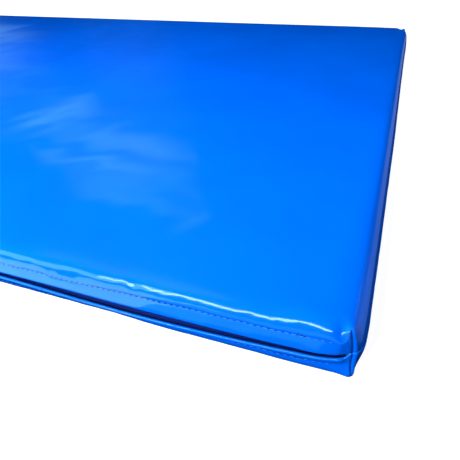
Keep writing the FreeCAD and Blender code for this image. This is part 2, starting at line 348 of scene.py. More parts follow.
# %% [markdown]
# ## Camera and light
#
# The camera stands close over one corner and looks along the mat, tipped down by almost forty
# degrees, so the zipped side runs up to the left and the end wall is seen only as a sliver. The
# lens is a little wide. It is placed from the corner, in the mat's own metres.
#
# Glossy sheet shows its surroundings, so two kinds of light are kept apart. Five soft lamps light
# the sheet and aren't mirrored by it: a key in front, a fill overhead, and one each at the near
# end, the back and the far end. What the gloss shows comes from panels that only gloss sees: a
# window, a blind and two slats behind the mat, broken into streaks; a strip that draws the line
# along the rolled edge; a panel on the left; and three cards on the floor for the low walls. The
# floor and the world are seen by the camera alone.

# %% The camera
CAMERA_FROM_CORNER = Vector((-0.0126, -0.2414, 0.3624))
PITCH, YAW, ROLL = math.radians(38.9), math.radians(-22.4), math.radians(4.0)
corner = Vector((half_x, front_y, 0.0))

ahead = Vector((math.sin(YAW) * math.cos(PITCH), math.cos(YAW) * math.cos(PITCH), -math.sin(PITCH)))
level_right = ahead.cross(Vector((0, 0, 1))).normalized()
level_down = ahead.cross(level_right)
right = math.cos(ROLL) * level_right + math.sin(ROLL) * level_down
down = math.cos(ROLL) * level_down - math.sin(ROLL) * level_right

camera_data = bpy.data.cameras.new("camera")
camera_data.sensor_width = 36.0
camera_data.lens = 33.3
camera_data.clip_start = 0.01
camera = bpy.data.objects.new("camera", camera_data)
bpy.context.collection.objects.link(camera)
turn = np.array([list(right), list(-down), list(-ahead)]).T
camera.matrix_world = Matrix.Translation(corner + CAMERA_FROM_CORNER) @ Matrix(turn.tolist()).to_4x4()
bpy.context.scene.camera = camera
print("camera at", [round(v, 3) for v in camera.location])


# %% The floor
def white_floor():
    """White paper that glows by itself. Its light doesn't reach the mat, and the mat doesn't mirror it."""
    floor = new_piece("studio_floor", bpy.ops.mesh.primitive_plane_add, size=60)
    material, tree, shader, place = new_material("matt white paper")
    fibre = add_node(tree, "TexNoise", None, Vector=place, Scale=60.0, Detail=3.0)
    tone = add_node(tree, "Mix", RGBA, _0=(fibre, "Fac"), _6=linear("848484"), _7=linear("878787"))
    set_inputs(tree, shader, Base_Color=(tone, 2), Roughness=0.9, Specular_IOR_Level=0.1)
    set_inputs(tree, shader, Emission_Color=linear("FFFFFF"), Emission_Strength=0.93)
    floor.data.materials.append(material)
    floor.visible_glossy = False
    floor.visible_diffuse = False
    print(floor.name, "ready")


white_floor()


# %% The lights
LAMP_R = 0.35
BROKEN_BY = 0.30  # how strongly streaks break a veiled panel up


def aim(lamp, at):
    lamp.rotation_euler = (Vector(at) - lamp.location).to_track_quat("-Z", "Y").to_euler()


def soft_lamp(name, place, watts):
    """A large soft lamp that lights the mat but isn't mirrored by it."""
    data = bpy.data.lights.new(name, "POINT")
    data.shadow_soft_size = LAMP_R
    data.energy = watts
    lamp = bpy.data.objects.new(name, data)
    lamp.location = place
    lamp.visible_glossy = False
    bpy.context.collection.objects.link(lamp)


def gloss_panel(name, place, at, width, depth, brightness, tint=(1, 1, 1), tilt=0.0):
    """A panel that the glossy sheet mirrors. It adds almost nothing to the light on the mat."""
    data = bpy.data.lights.new(name, "AREA")
    data.shape = "RECTANGLE"
    data.size, data.size_y = width, depth
    data.energy = brightness * math.pi * width * depth
    data.color = tint
    lamp = bpy.data.objects.new(name, data)
    lamp.location = place
    aim(lamp, at)
    lamp.rotation_euler.rotate_axis("Z", tilt)
    lamp.visible_diffuse = False
    lamp.visible_camera = False
    bpy.context.collection.objects.link(lamp)
    return lamp


def veil(panel, along, across, open_at, shut_at, slant):
    """Let a panel fade out to its edges and break up in streaks, as light through a blind does."""
    panel.data.use_nodes = True
    tree = panel.data.node_tree

    place = add_node(tree, "NewGeometry")
    axes = add_node(tree, "SeparateXYZ", None, Vector=(place, "Parametric"))
    times = {"operation": "MULTIPLY"}
    fade = []
    for axis in ("X", "Y"):
        rest = add_node(tree, "Math", {"operation": "SUBTRACT"}, _0=1.0, _1=(axes, axis))
        fade.append(add_node(tree, "Math", times, _0=(axes, axis), _1=(rest, 0)))
    inside = add_node(tree, "Math", times, _0=(fade[0], 0), _1=(fade[1], 0))
    stretched = {"Scale": (along, across, 1), "Rotation": (0, 0, slant)}
    stretch = add_node(tree, "Mapping", None, Vector=(place, "Parametric"), **stretched)
    streaks = add_node(tree, "TexNoise", None, Vector=(stretch, 0), Scale=1.0, Detail=3.0, Distortion=0.25)
    lay = {"operation": "MULTIPLY_ADD"}
    broken = add_node(tree, "Math", lay, _0=(streaks, 0), _1=BROKEN_BY, _2=(inside, 0))
    opening = add_node(tree, "MapRange", SOFT_STEP, Value=(broken, 0), _1=shut_at, _2=open_at)
    set_inputs(tree, tree.nodes["Emission"], Strength=(opening, 0))


SKY_BLUE = (0.42, 1.0, 1.2)
soft_lamp("front_key", (0.30, -1.45, 0.94), 250)
soft_lamp("over_fill", (0.28, -0.20, 1.00), 55)
soft_lamp("end_fill", (2.1, 0.3, 0.2), 80)
soft_lamp("back_lamp", (-0.60, 1.70, 0.40), 70)
soft_lamp("far_end_lamp", (-2.2, -0.3, 0.40), 45)
window = gloss_panel("window", (-0.66, 1.26, 1.12), (-0.66, -0.3, 1.12), 1.3, 0.85, 1.25, SKY_BLUE)
veil(window, 1.2, 10.0, 0.27, 0.155, slant=-0.4)
blind = gloss_panel("blind", (-1.75, 1.26, 0.47), (-1.75, -0.3, 0.47), 2.0, 0.7, 0.85, SKY_BLUE)
veil(blind, 1.0, 12.0, 0.28, 0.16, slant=-0.3)
slat = gloss_panel("slat", (-1.08, 1.25, 0.85), (-1.08, -0.3, 0.85), 1.0, 0.14, 0.6, SKY_BLUE, 0.35)
veil(slat, 1.0, 4.0, 0.20, 0.15, slant=0.0)
slat = gloss_panel("low_slat", (-0.16, 1.25, 1.54), (-0.16, -0.3, 1.54), 0.6, 0.11, 0.5, SKY_BLUE, 0.84)
veil(slat, 1.0, 4.0, 0.20, 0.15, slant=0.0)
gloss_panel("strip", (0.95, -1.70, 1.13), (1.35, -0.57, 0.05), 2.25, 0.30, 15.0, (0.65, 1.0, 1.15))
gloss_panel("left_panel", (-1.15, -1.80, 1.25), (0.7, -0.5, 0.05), 2.2, 1.15, 3.6, SKY_BLUE)
gloss_panel("low_card", (-0.1, -0.85, 0.002), (-0.1, -0.85, 1.0), 1.7, 0.6, 3.1, SKY_BLUE)
gloss_panel("front_card", (1.05, -0.80, 0.002), (1.05, -0.80, 1.0), 0.6, 0.46, 0.9, (0.2, 1.0, 1.2))
gloss_panel("end_card", (1.55, 0.35, 0.002), (1.55, 0.35, 1.0), 1.0, 1.7, 0.22, (0.75, 0.95, 1.15))

world = bpy.data.worlds.new("studio room")
world.use_nodes = True
set_inputs(world.node_tree, world.node_tree.nodes["Background"], Color=linear("E8EEF6"), Strength=0.95)
world.cycles_visibility.diffuse = False
world.cycles_visibility.glossy = False
bpy.context.scene.world = world

bpy.context.scene.view_settings.view_transform = "Standard"
bpy.context.scene.view_settings.look = "None"
print("lights ready")

# %% [markdown]
# ## The cut of the sheet
#
# Each half of the cover is one sheet: a flat panel whose rim turns down into the wall, folds at
# the seam and runs inwards. It is made the way it is cut, as a grid with its rim drawn out into
# rings, and then every ring is moved to its place. The rings are close together where the sheet
# turns tightly, and the columns are spaced so that the needle holes fall on them.

# %% Spacing of the columns and rows
PANEL_INSET = 22 * MM  # from the wall to where the rim starts to turn
CORNER_ZONE = 40 * MM  # the stretch next to a corner that bends round it
CORNER_STEPS = [1.9, 1.8, 1.7, 1.6, 1.5, 1.3, 1.2, 1.1, 1.0, 0.8, 0.7, 0.6, 0.5, 0.5, 0.4, 0.4, 0.35, 0.35]
corner_steps = np.array(CORNER_STEPS) * MM


def columns_to(half):
    """Places from the middle out to the panel's corner, with every needle hole on a column."""
    stop = half - PANEL_INSET - corner_steps.sum()
    holes = np.arange(STITCH_PITCH / 2, stop - STITCH_PITCH / 4, STITCH_PITCH)
    return np.concatenate([holes, [stop], stop + np.cumsum(corner_steps)])


def rows_to(half, middle_step):
    """The same across the mat, where the rows may be far apart in the middle."""
    stop = half - PANEL_INSET - corner_steps.sum()
    steps = np.array([3.4] * 4 + [4.5] * 4 + [6.0] * 6 + [9.0] * 4) * MM
    near = stop - np.cumsum(np.append(0.0, steps))
    inner = np.linspace(0, near[-1], int(round(near[-1] / middle_step)), endpoint=False)
    return np.concatenate([inner, near[::-1], stop + np.cumsum(corner_steps)])


def both_ways(places):
    places = places[places > 1e-9]
    return np.concatenate([-places[::-1], places])


column_x = both_ways(columns_to(half_x))
row_y = both_ways(rows_to(half_y, 13 * MM))
print(len(column_x), "columns,", len(row_y), "rows")


# %% The unfolded sheet
def unfolded_sheet(name, rings, wall_start):
    """A grid with its rim drawn out into rings. Ring n lies n metres below the panel.

    On the zipped side the wall's rings get a point between each two, so that a needle hole can
    be a dimple of its own."""
    cells = {"x_subdivisions": len(column_x) - 1, "y_subdivisions": len(row_y) - 1}
    piece = new_piece(name, bpy.ops.mesh.primitive_grid_add, size=2, **cells)
    edit_mode()
    bpy.ops.mesh.region_to_loop()
    for _ in range(rings):
        bpy.ops.mesh.extrude_region_move(TRANSFORM_OT_translate={"value": (0, 0, -1)})
    bpy.ops.mesh.select_mode(type="EDGE")
    bpy.ops.mesh.select_all(action="DESELECT")
    object_mode()
    mesh = piece.data
    points = get_points(piece)
    ends = np.array([edge.vertices[:] for edge in mesh.edges])
    low, high = points[ends[:, 0]], points[ends[:, 1]]
    front = (low[:, 1] < -1 + 1e-6) & (high[:, 1] < -1 + 1e-6)
    level = np.abs(low[:, 2] - high[:, 2]) < 1e-6
    last_straight = 1 - 2.2 * len(corner_steps) / len(column_x)
    straight = np.maximum(np.abs(low[:, 0]), np.abs(high[:, 0])) < last_straight
    mesh.edges.foreach_set("select", front & level & straight & (low[:, 2] < -wall_start + 0.5))
    bpy.ops.object.mode_set(mode="EDIT")
    bpy.ops.mesh.subdivide(number_cuts=1)
    object_mode()
    return piece


def cell_numbers(piece):
    """Each point's column, row and ring, read from where the operators left it."""
    points = get_points(piece)
    ring = np.rint(-points[:, 2]).astype(int)
    column = (points[:, 0] + 1) / 2 * (len(column_x) - 1)
    row = (points[:, 1] + 1) / 2 * (len(row_y) - 1)
    return np.round(column * 2) / 2, np.round(row * 2) / 2, ring


# %% [markdown]
# ## The sheet's profile
#
# A ring is described by how far inside the wall it lies and how deep below its panel. On the
# zipped stretch the sheet is folded back behind itself to make a hem. Elsewhere it turns
# inwards at the seam. Near the ends of the slot one passes into the other. The lower half is
# the same, upside down, with its lip a little lower than the seam.

# %% Profiles of the two halves
TOP_ROLL = [  # inset and depth of each ring, in mm, where the upper sheet turns down
    (22, 0), (17, 0.1), (13.5, 0.35), (10.5, 0.8), (8.3, 1.4), (6.4, 2.2), (4.8, 3.2), (3.5, 4.4),
    (2.4, 5.8), (1.6, 7.4), (0.9, 9.4), (0.3, 11.8), (0, 14),
]  # fmt: skip
CORNER_CREASE = [  # the same rings at a corner seam, where the sheet comes to a sharp tip
    (22, 0), (18.5, 0), (15.5, 0), (13, 0), (11, 0), (9, 0.02), (7.3, 0.1), (6.1, 0.6), (5.6, 2),
    (5.2, 4.5), (4.9, 7.5), (4.6, 10.5), (4.3, 14),
]  # fmt: skip
FOOT_ROLL = [  # the same where the lower sheet turns up from the floor, which is tighter
    (22, 0), (14, 0), (9, 0), (6, 0.05), (3.6, 0.2), (1.9, 0.6), (0.9, 1.4), (0.35, 2.6),
    (0.1, 4.5), (0, 7.5),
]  # fmt: skip
WALL_RINGS = 7
TURN_RINGS = 4
SEAM_TURN = np.array([0.3, 1.1, 2.2, 3.6, 5.5, 7.5, 10.0]) * MM
SEAM_REST = np.array([0.75, 0.12, 0.03, 0.02, 0.02, 0.02, 0.02]) * MM


def half_profile(roll, row_depth, edge_depth, seam_depth):
    """Insets and depths of the rings at the zip and at the plain seam, and the stitch ring."""
    roll_in, roll_down = np.array(roll).T * MM
    row_rings = row_depth + np.array([-1.5, 0, 1.5]) * MM

    def wall_to(depth):
        return np.linspace(row_rings[-1], depth - FOLD_R, WALL_RINGS + 1)[1:]

    turn = np.linspace(0, math.pi, TURN_RINGS + 1)[1:]
    flat = np.zeros(3 + WALL_RINGS)
    behind = np.array([edge_depth - FOLD_R - 5 * MM, row_depth + 1.5 * MM, row_depth - 3.5 * MM])
    hem_in = np.concatenate([roll_in, flat, FOLD_R * (1 - np.cos(turn)), [2 * FOLD_R] * 3])
    hem_down = np.concatenate(
        [roll_down, row_rings, wall_to(edge_depth), edge_depth - FOLD_R + FOLD_R * np.sin(turn), behind]
    )
    seam_in = np.concatenate([roll_in, flat, SEAM_TURN])
    seam_down = np.concatenate([roll_down, row_rings, wall_to(seam_depth), seam_depth - SEAM_REST])
    return hem_in, hem_down, seam_in, seam_down, len(roll) + 1


crease_in, crease_down = np.array(CORNER_CREASE).T * MM
upper_profile = half_profile(TOP_ROLL, height - upper_row_z, height - seam_z, height - seam_z)
lower_profile = half_profile(FOOT_ROLL, lower_row_z, lip_z, seam_z)
print("upper rings:", len(upper_profile[0]), " lower rings:", len(lower_profile[0]))

# %% [markdown]
# ## Round the corners and out along the walls
#
# Two steps place the rings. First each ring is laid round its rounded corner. Then the walls are
# let out: the sheet is cut a little larger than the foam, so between the corners the walls bow
# outwards, most at the slot, and beside the upright corner seams they are held in.

# %% Laying a ring round its corners
PANEL_CORNER_R = 8 * MM


def round_the_corner(end_gap, side_gap, ring_inset, radius):
    """Lay the points of a corner zone on rounded rings.

    The gaps are distances from the end plane and from the long side's plane. Outside the panel,
    the panel's own spacing is stretched over the longer way round. It gives the new gaps, how
    far the wall has turned from side to end, and the distance along the ring from its middle."""
    on_side = side_gap <= end_gap + 1e-9
    along, inset = np.where(on_side, end_gap, side_gap), np.minimum(end_gap, side_gap)
    outer = ring_inset < PANEL_INSET - 1e-9
    start = np.where(outer, PANEL_INSET, inset)
    share = np.clip((along - start) / np.maximum(CORNER_ZONE - start, 1e-9), 0, 1)
    inset = np.where(outer, ring_inset, inset)
    arm = CORNER_ZONE - inset
    radius = np.where(outer, radius, PANEL_CORNER_R * arm / (CORNER_ZONE - PANEL_INSET))
    total = 2 * (arm - radius) + math.pi * radius / 2
    s = np.where(on_side, 0.5 - share / 2, 0.5 + share / 2) * total
    angle = np.clip((s - (arm - radius)) / np.maximum(radius, 1e-9), 0, math.pi / 2)
    past = np.maximum(s - (total - (arm - radius)), 0)
    before = np.maximum(arm - radius - s, 0)
    new_end = inset + radius * (1 - np.sin(angle)) + before
    new_side = inset + radius * (1 - np.cos(angle)) + past
    return new_end, new_side, angle, s - total / 2


WALL_CORNER_R = 5 * MM


def from_corner_seam(gap, radius):
    """How far along the wall a panel column's foot is from the corner seam."""
    half_way_round = CORNER_ZONE - radius + math.pi * radius / 4
    share = np.clip((gap - PANEL_INSET) / (CORNER_ZONE - PANEL_INSET), 0, 1)
    return np.where(gap < CORNER_ZONE, share * half_way_round, gap - CORNER_ZONE + half_way_round)


def seam_inset(z):
    """How far behind the walls' planes a corner seam stands. It leans in to its tip."""
    return 0.5 * MM + 5.1 * MM * np.clip(z / height, 0, 1) ** 1.1 - 2.2 * MM * bump(z / (7 * MM))


print("corner seam's inset at the slot:", round(float(seam_inset(zip_z)) * 1000, 1), "mm")


# %% Letting the walls out
BULGE_SIDE = 9.0 * MM
BULGE_END = 8.3 * MM
FULLEST_Z = 26 * MM
BY_CORNER = (6 * MM, 32 * MM)  # where the hold of a corner ends, and how slowly it fades
BY_SLIDER = (64 * MM, 60 * MM)  # the same at the end where the slider rests
ROLL_OUT = 3.0 * MM  # how far the rolled edge goes out with the wall
ROLL_BACK = 0.9 * MM  # and how far it comes back just before a corner
FOOT_OUT = 2.0 * MM
FOOT_OUT_LAST = 0.3 * MM
MOUTH_OUT = 1.2 * MM
MOUTH_PLACE = 0.966


def wall_bow(z):
    """How far out the wall is at a height, from 0 at its top and bottom edges to 1 at the slot."""
    above = 1 - np.clip((z - FULLEST_Z) / (height - 4 * MM - FULLEST_Z), 0, 1) ** 1.3
    below = 1 - np.clip((FULLEST_Z - z) / FULLEST_Z, 0, 1) ** 1.8
    return np.where(z > FULLEST_Z, above, below)


def held_by_corner(gap, start, reach):
    """0 beside a corner seam, rising to 1 along the wall."""
    return 1 - np.exp(-np.maximum(gap - start, 0) / reach)


def near_tip(x):
    """1 a finger's width before a corner, where the sheet is pulled up and back to the seam's tip."""
    return bump((np.abs(x) - 0.955) / 0.022)


def let_out(x, y, z):
    """How far the walls push out along X and along Y at each point.

    Where the slider is parked, the zip's stiff end keeps the wall flat."""
    end_gap, side_gap = half_x - np.abs(x), half_y - np.abs(y)
    near_end, near_side = smooth(1 - end_gap / 0.06), smooth(1 - side_gap / 0.06)
    swell = 1 + 0.10 * np.sin(3.1 * x + 1.2) + 0.06 * np.sin(9.7 * x)
    parked = (x < 0) & (y < 0)
    held = np.where(parked, held_by_corner(end_gap, *BY_SLIDER), held_by_corner(end_gap, *BY_CORNER))
    roll = (ROLL_OUT * held - ROLL_BACK * near_tip(x)) * bump((z - height + 3 * MM) / (8 * MM))
    side = BULGE_SIDE * wall_bow(z) * held * swell + roll
    foot = FOOT_OUT * smooth((np.abs(x) - 0.73) / 0.08) + FOOT_OUT_LAST * smooth((np.abs(x) - 0.9) / 0.04)
    side = side + foot * bump((z - 5 * MM) / (9 * MM))
    mouth = MOUTH_OUT * bump((np.abs(x) - MOUTH_PLACE) / 0.016) * bump((z - zip_z) / (9 * MM))
    side = side + mouth * ~parked
    end = BULGE_END * wall_bow(z) * held_by_corner(side_gap, 2 * MM, 9 * MM)
    end = end * (1 - 0.35 * smooth((y + 0.15) / 0.5))
    return np.sign(x) * end * near_end, np.sign(y) * side * near_side


test = let_out(np.array([0.0, 0.9]), np.array([front_y, front_y]), np.array([zip_z, zip_z]))
print("the zipped side stands out by", np.round(test[1] * 1000, 2), "mm")

# %% [markdown]
# ## Looseness
#
# A loose sheet has memory: long shallow waves on top, a few dents in the rolled edge where it
# was folded in its box, puckers that run up from the stitches, and seams that sit in a small
# valley. Each is one smooth term, added along the direction in which the sheet is free to move.

# %% Waves, dents and puckers
EDGE_DENTS = [  # place along the zipped side, half width and depth: the memory of a fold
    (0.688, 24 * MM, 1.5 * MM),
    (0.300, 14 * MM, 2.5 * MM),
    (-0.110, 10 * MM, 2.8 * MM),
    (-0.520, 20 * MM, 2.4 * MM),
    (-0.815, 9 * MM, 3.0 * MM),
]
CROWN = 1.5 * MM
FOLD_PLACE = 0.7775
FOLD_DEPTH = 3.6 * MM


def top_waves(x, y):
    """The rise and fall of the loose panel."""
    flat = np.column_stack([x, y, np.zeros_like(x)])
    slanted = np.column_stack([0.8 * x + 0.6 * y, 3.5 * (0.8 * y - 0.6 * x), np.zeros_like(x)])
    streaked = np.column_stack([0.87 * x - 0.5 * y, 0.25 * (0.5 * x + 0.87 * y), 0 * x])
    swells = 1.2 * ripple(flat, 0.30, 1) + 0.5 * ripple(flat, 0.13, 2) + 0.2 * ripple(slanted, 0.16, 3)
    swells = swells + 0.2 * ripple(streaked, 0.035, 8)
    free = smooth((half_x - np.abs(x)) / 0.12) * smooth((half_y - np.abs(y)) / 0.12)
    return MM * swells * (0.25 + 0.75 * free) + CROWN * free


def edge_dents(x):
    return sum(depth * bump((x - place) / width) for place, width, depth in EDGE_DENTS)


def fold_mark(x):
    """A sharp crease across the rolled edge, steeper on its left, with a low shoulder on each side."""
    flank = np.where(x < FOLD_PLACE, 5 * MM, 6 * MM)
    return bump((x - FOLD_PLACE) / flank) - 0.28 * bump((x - FOLD_PLACE) / (3.2 * flank))


def puckers(x, z, row_z, seed):
    """Short gathers above and below a row of stitches."""
    line = np.column_stack([x, np.full_like(x, 0.3 * seed), 0.35 * z])
    reach = bump((z - row_z) / (9 * MM))
    return MM * (0.55 * ripple(line, 0.016, seed) + 0.5 * ripple(line, 0.045, seed + 7)) * reach


def roll_lumps(x, z):
    """The rolled edge is not a clean tube: lumps as long as a finger, and fine beads. Near the
    corners the sheet is pulled tighter."""
    line = np.column_stack([x, np.full_like(x, 2.2), 0.5 * z])
    lumps = 0.7 * ripple(line, 0.042, 9) * (1 - 0.75 * smooth((np.abs(x) - 0.76) / 0.06))
    beads = (0.7 + 0.4 * smooth((np.abs(x) - 0.90) / 0.04)) * ripple(line, 0.008, 10)
    return MM * (lumps + beads) * bump((z - height + 7 * MM) / (9 * MM))


FACET_SLOPE = 0.17
FACET_SOFT = 3 * MM
TIP_SAG = 6.5 * MM
TIP_LIFT = 0.6 * MM


def corner_fall(end_gap, side_gap):
    """How far the top falls near a corner: a facet down to the end, and a sag beside the seam's tip."""
    past_tip = np.maximum(side_gap - 6 * MM, 0)
    ridge = 6 * MM + 20 * MM * (1 - np.exp(-past_tip / (14 * MM)))
    ridge = ridge - 14 * MM * smooth((side_gap - 0.06) / 0.25)
    facet = FACET_SLOPE * FACET_SOFT * np.log1p(np.exp(np.clip((ridge - end_gap) / FACET_SOFT, -30, 30)))
    sag = TIP_SAG * bump((end_gap - 14 * MM) / (6 * MM)) * smooth(1 - side_gap / (25 * MM))
    return facet + sag - TIP_LIFT * bump(np.hypot(end_gap - 6 * MM, side_gap - 6 * MM) / (5 * MM))


def row_rise(x, upper):
    """Both rows of stitches climb a little towards the corners, the lower one more."""
    return (2.2 if upper else 3.4) * MM * smooth((np.abs(x) - 0.72) / 0.1)


def roll_rise(x):
    """The rolled edge stands up a little, just before the sag beside a corner seam's tip."""
    return 2.6 * MM * near_tip(x)


print("deepest dent", round(float(edge_dents(np.linspace(-1, 1, 2001)).max()) * 1000, 1), "mm")


# %% Shaping one half of the cover
ROW_VALLEY = 0.25 * MM
NEEDLE_DEPTH = 0.6 * MM
SEAM_VALLEY = 1.1 * MM
SEAM_BEAD = 1.0 * MM
CREASE_REACH = 16 * MM
HEM_DROOP = 0.8 * MM
LIP_SAG = 3.6 * MM
LIP_OUT = 2.0 * MM
LIP_BEAD = 1.2 * MM
LIP_PLACE = 0.78
LIP_REACH = 0.13


def shaped_half(name, upper):
    """One half of the cover: every ring laid out, the walls let out and the looseness added."""
    hem_in, hem_down, seam_in, seam_down, stitch_ring = upper_profile if upper else lower_profile
    piece = unfolded_sheet(name, len(hem_in) - 1, 3)
    column, row, ring = cell_numbers(piece)
    x = np.interp(column, np.arange(len(column_x)), column_x)
    y = np.interp(row, np.arange(len(row_y)), row_y)
    across, along = np.sign(x), np.sign(y)
    end_gap, side_gap = half_x - np.abs(x), half_y - np.abs(y)
    on_side = side_gap <= end_gap + 1e-9
    in_panel = ring == 0
    along_wall = from_corner_seam(np.maximum(end_gap, side_gap), WALL_CORNER_R)
    hem = smooth((along_wall - 0.8 * MM) / (5.5 * MM))
    hem = np.where((y < 0) & on_side & ~in_panel, hem, 0.0)
    inset = seam_in[ring] + (hem_in[ring] - seam_in[ring]) * hem
    depth = seam_down[ring] + (hem_down[ring] - seam_down[ring]) * hem
    by_seam = 1 - smooth(along_wall / CREASE_REACH)
    if upper:
        last = np.minimum(ring, len(CORNER_CREASE) - 1)
        pulled = np.where((ring > 0) & (ring < len(CORNER_CREASE)), by_seam, 0.0)
        inset = inset + (crease_in[last] - inset) * pulled
        depth = depth + (crease_down[last] - depth) * pulled
        leaning = (ring >= len(CORNER_CREASE)).astype(float)
    else:
        leaning = np.where(ring < len(FOOT_ROLL), np.clip(1 - inset / (10 * MM), 0, 1), 1.0) * ~in_panel
    inset = inset + leaning * by_seam * seam_inset(height - depth if upper else depth)

    radius = PANEL_CORNER_R + (WALL_CORNER_R - PANEL_CORNER_R) * (1 - inset / PANEL_INSET)
    corner_zone = (end_gap < CORNER_ZONE) & (side_gap < CORNER_ZONE)
    turned = round_the_corner(end_gap, side_gap, np.where(in_panel, PANEL_INSET, inset), radius)
    end_gap = np.where(corner_zone, turned[0], np.where(in_panel | on_side, end_gap, inset))
    side_gap = np.where(corner_zone, turned[1], np.where(in_panel | ~on_side, side_gap, inset))
    angle = np.where(corner_zone, turned[2], np.where(on_side, 0.0, math.pi / 2))
    from_seam = np.where(corner_zone, turned[3], 1.0)
    x, y = across * (half_x - end_gap), along * (half_y - side_gap)
    z = height - depth if upper else depth.copy()

    out = np.zeros_like(x)
    wall = ~in_panel & (inset < 3 * MM)
    clear_of_corner = smooth((np.maximum(end_gap, side_gap) - 10 * MM) / (30 * MM))
    row_z = upper_row_z if upper else lower_row_z
    side_wall = wall & on_side
    front = side_wall & (y < 0)
    out[front] += puckers(x[front], z[front], row_z, 3 if upper else 4)
    if upper:
        out[front] += roll_lumps(x[front], z[front])
    back = side_wall & (y > 0)
    out[back] += 0.6 * puckers(x[back], z[back], seam_z, 5)
    ends = wall & ~on_side
    out[ends] += 0.6 * puckers(y[ends], z[ends], seam_z, 6)
    out = out * clear_of_corner
    sewn = front & (np.abs(x) < slot_half)
    out[sewn] -= ROW_VALLEY * bump((z[sewn] - row_z) / (2.2 * MM))
    needle = front & (ring == stitch_ring) & (column == np.rint(column)) & ~corner_zone
    out[needle] -= NEEDLE_DEPTH
    seam = ~in_panel & corner_zone
    bead = SEAM_BEAD * bump((from_seam - 2.6 * MM) / (1.5 * MM))
    groove = bead - SEAM_VALLEY * bump(from_seam / (0.9 * MM))
    out[seam] += (groove * smooth(depth / ((3 if upper else 9) * MM)))[seam]

    if not upper:
        loose = np.where(x < 0, smooth((end_gap - 80 * MM) / (60 * MM)), 1.0)
        slack = loose * bump((np.abs(x) - LIP_PLACE) / LIP_REACH) * hem
        slack = slack * smooth((z - lower_row_z + 3 * MM) / (10 * MM))
        lip_bead = loose * LIP_BEAD * bump((z - lip_z + 2.5 * MM) / (2.8 * MM)) * hem * (inset < FOLD_R)
        y = y - LIP_OUT * slack - lip_bead
        z = z - LIP_SAG * slack * smooth((z - lower_row_z) / (8 * MM))
        z = z + np.where(front, row_rise(x, upper) * bump((z - row_z) / (5.5 * MM)), 0.0)
    else:
        z = z + np.where(front, row_rise(x, upper) * bump((z - row_z) / (8 * MM)), 0.0)
        by_edge = np.where(y < 0, smooth((0.045 - side_gap) / 0.035), 0.0)
        z = z + roll_rise(x) * bump((z - height) / (9 * MM)) * by_edge
        drooping = smooth((np.abs(x) - 0.68) / 0.08)
        z = z - HEM_DROOP * hem * smooth((36 * MM - z) / (6 * MM)) * drooping
    push_x, push_y = let_out(x, y, z)
    behind = ring > stitch_ring + WALL_RINGS + TURN_RINGS
    dent = np.where((y < 0) & upper, edge_dents(x), 0.0) * smooth((0.03 - side_gap) / 0.03)
    rim = smooth((z - height + 22 * MM) / (18 * MM))
    fold = np.where((y < 0) & upper, fold_mark(x), 0.0) * FOLD_DEPTH * smooth((0.018 - side_gap) / 0.018)
    fold = fold * smooth((z - height + 16 * MM) / (10 * MM))
    x = x + push_x + across * np.sin(angle) * np.where(behind, 0, out)
    y = y + push_y + along * np.cos(angle) * np.where(behind, 0, out)
    y = y - along * (0.7 * dent * rim - 0.25 * fold)
    if upper:
        z = z + top_waves(x, y) * rim - 0.9 * (dent * rim + fold) - corner_fall(end_gap, side_gap) * rim
    set_points(piece, np.column_stack([x, y, z]))

    # The needle attribute marks the painted shade at the holes, a little weaker near the corners.
    holes = piece.data.attributes.new("needle", "FLOAT", "POINT")
    tighter = 1 - 0.38 * smooth((np.abs(x) - 0.78) / 0.10)
    holes.data.foreach_set("value", (needle * tighter).astype(np.float32))
    return piece


def give_thickness(piece, thickness):
    """Point the faces outwards, add the inner side and smooth the shading."""
    only(piece)
    edit_mode()
    bpy.ops.mesh.normals_make_consistent(inside=False)
    object_mode()
    wall = piece.modifiers.new("thickness", "SOLIDIFY")
    wall.thickness = thickness
    wall.offset = -1.0
    wall.use_even_offset = True
    apply_modifiers(piece)
    bpy.ops.object.shade_smooth()


upper_cover = shaped_half("cover_top_sheet", True)
lower_cover = shaped_half("cover_base_sheet", False)
for cover_half in (upper_cover, lower_cover):
    print(cover_half.name, len(cover_half.data.vertices), "points before its thickness")

# %% Finishing the cover
for cover_half, node in ((upper_cover, "cover_top"), (lower_cover, "cover_base")):
    give_thickness(cover_half, SHEET)
    dress(cover_half, sheet_finish, "cover_sheet", "cover", node)
    print(cover_half.name, len(cover_half.data.polygons), "faces")

# %% [markdown]
# ## The zip's tapes
#
# A zip is two woven tapes, each with a coil sewn to its edge. Each tape is sewn behind its hem
# and steps back into the mat, so that the slider has room. A tape is a long grid, laid on its
# profile. Its sewn side is let out with the wall, because it goes where the sheet goes. Its other
# side stays straight along the whole mat, because the slider runs there on a straight line.

# %% Long strips, sewn on one side and straight on the other
TAPE_T = 0.6 * MM
SLIDES_FREE = 0.1 * MM  # between a tape and the slider's back plate
STRAIGHT = 3


def long_strip(name, half_length, columns, profile):
    """A strip along the zipped side. Its profile is a list of (distance behind the face, z).

    The last STRAIGHT points of the profile keep their place, and the others go out with the wall."""
    cells = {"x_subdivisions": columns, "y_subdivisions": len(profile) - 1}
    piece = new_piece(name, bpy.ops.mesh.primitive_grid_add, size=2, **cells)
    points = get_points(piece)
    rank = np.rint((points[:, 1] + 1) / 2 * (len(profile) - 1)).astype(int)
    behind, z = np.array(profile)[rank].T
    x, y = points[:, 0] * half_length, front_y + behind
    push_x, push_y = let_out(x, y, z)
    stays_straight = rank >= len(profile) - STRAIGHT
    set_points(piece, np.column_stack([x, np.where(stays_straight, y, y + push_y), z]))
    return piece


